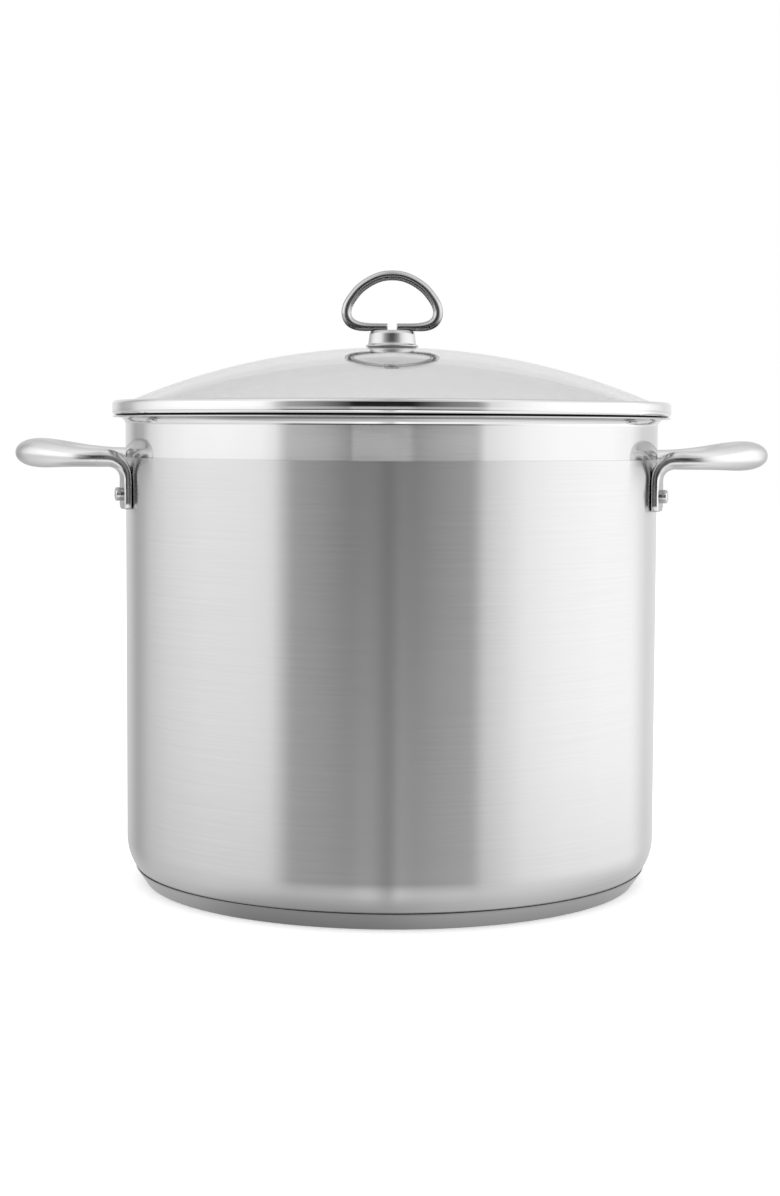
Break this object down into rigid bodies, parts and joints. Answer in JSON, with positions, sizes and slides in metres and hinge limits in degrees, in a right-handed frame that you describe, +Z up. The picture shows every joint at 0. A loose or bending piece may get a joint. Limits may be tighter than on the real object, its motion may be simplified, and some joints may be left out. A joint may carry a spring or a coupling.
{
  "type": "water bath canner",
  "caption": "Tall stainless stockpot with riveted loop handles, domed glass lid with a bent rod knob, and a lift-out wire rack that holds preserving jars off the floor.",
  "frame": {"origin": "centre of the base underside, on the surface the pot stands on", "axes": "+Z up; -X to the left side handle, +X to the right side handle; -Y is the front"},
  "size_m": [0.4298, 0.3168, 0.3473],
  "materials": {
    "brushed_shell": "fine circumferential brushing, mirror band under the lip",
    "core_aluminium": "as rolled",
    "base_steel": "satin",
    "polished_handle": "mirror polished stainless steel",
    "polished_rivet": "mirror polished stainless steel",
    "lid_glass": "clear tempered glass",
    "polished_band": "mirror polished stainless steel",
    "bedding_silicone": "dark silicone",
    "polished_knob": "mirror polished stainless steel",
    "clear_silicone": "pale silicone",
    "satin_cup": "satin",
    "rack_wire": "polished wire"
  },
  "bodies": {
    "pot": {"pot_body": "brushed_shell", "base_core": "core_aluminium", "base_cap": "base_steel", "side_handle_left": "polished_handle", "side_handle_right": "polished_handle", "rivets_left": "polished_rivet", "rivets_right": "polished_rivet"},
    "lid": {"lid_glass": "lid_glass", "lid_rim_band": "polished_band", "lid_rim_bedding": "bedding_silicone", "knob_loop": "polished_knob", "knob_post": "polished_knob", "knob_upper_gasket": "clear_silicone", "knob_bush": "clear_silicone", "knob_lower_cup": "satin_cup", "knob_lower_gasket": "clear_silicone", "knob_washer": "satin_cup", "knob_screw": "satin_cup"},
    "rack": {"rack_base_ring": "rack_wire", "rack_inner_rings": "rack_wire", "rack_spokes": "rack_wire", "rack_dividers": "rack_wire", "rack_center_ring": "rack_wire", "rack_uprights": "rack_wire", "rack_feet": "rack_wire"},
    "rack_bail_left": {"rack_handle_left": "rack_wire"},
    "rack_bail_right": {"rack_handle_right": "rack_wire"}
  },
  "joints": [
    {"name": "lid_lift", "type": "slide", "parent": "pot", "child": "lid", "axis": [0, 0, 1], "range_m": [0, 0.56]},
    {"name": "rack_lift", "type": "slide", "parent": "pot", "child": "rack", "axis": [0, 0, 1], "range_m": [0, 0.28]},
    {"name": "rack_handle_right_swing", "type": "hinge", "parent": "rack", "child": "rack_bail_right", "pos_m": [0.134, 0, 0.122], "axis": [0, -1, 0], "range_deg": [0, 80]},
    {"name": "rack_handle_left_swing", "type": "hinge", "parent": "rack", "child": "rack_bail_left", "pos_m": [-0.134, 0, 0.122], "axis": [0, 1, 0], "range_deg": [0, 80]}
  ],
  "couplings": [
    {"joint": "rack_lift", "follows": "lid_lift", "ratio": 0.5}
  ]
}
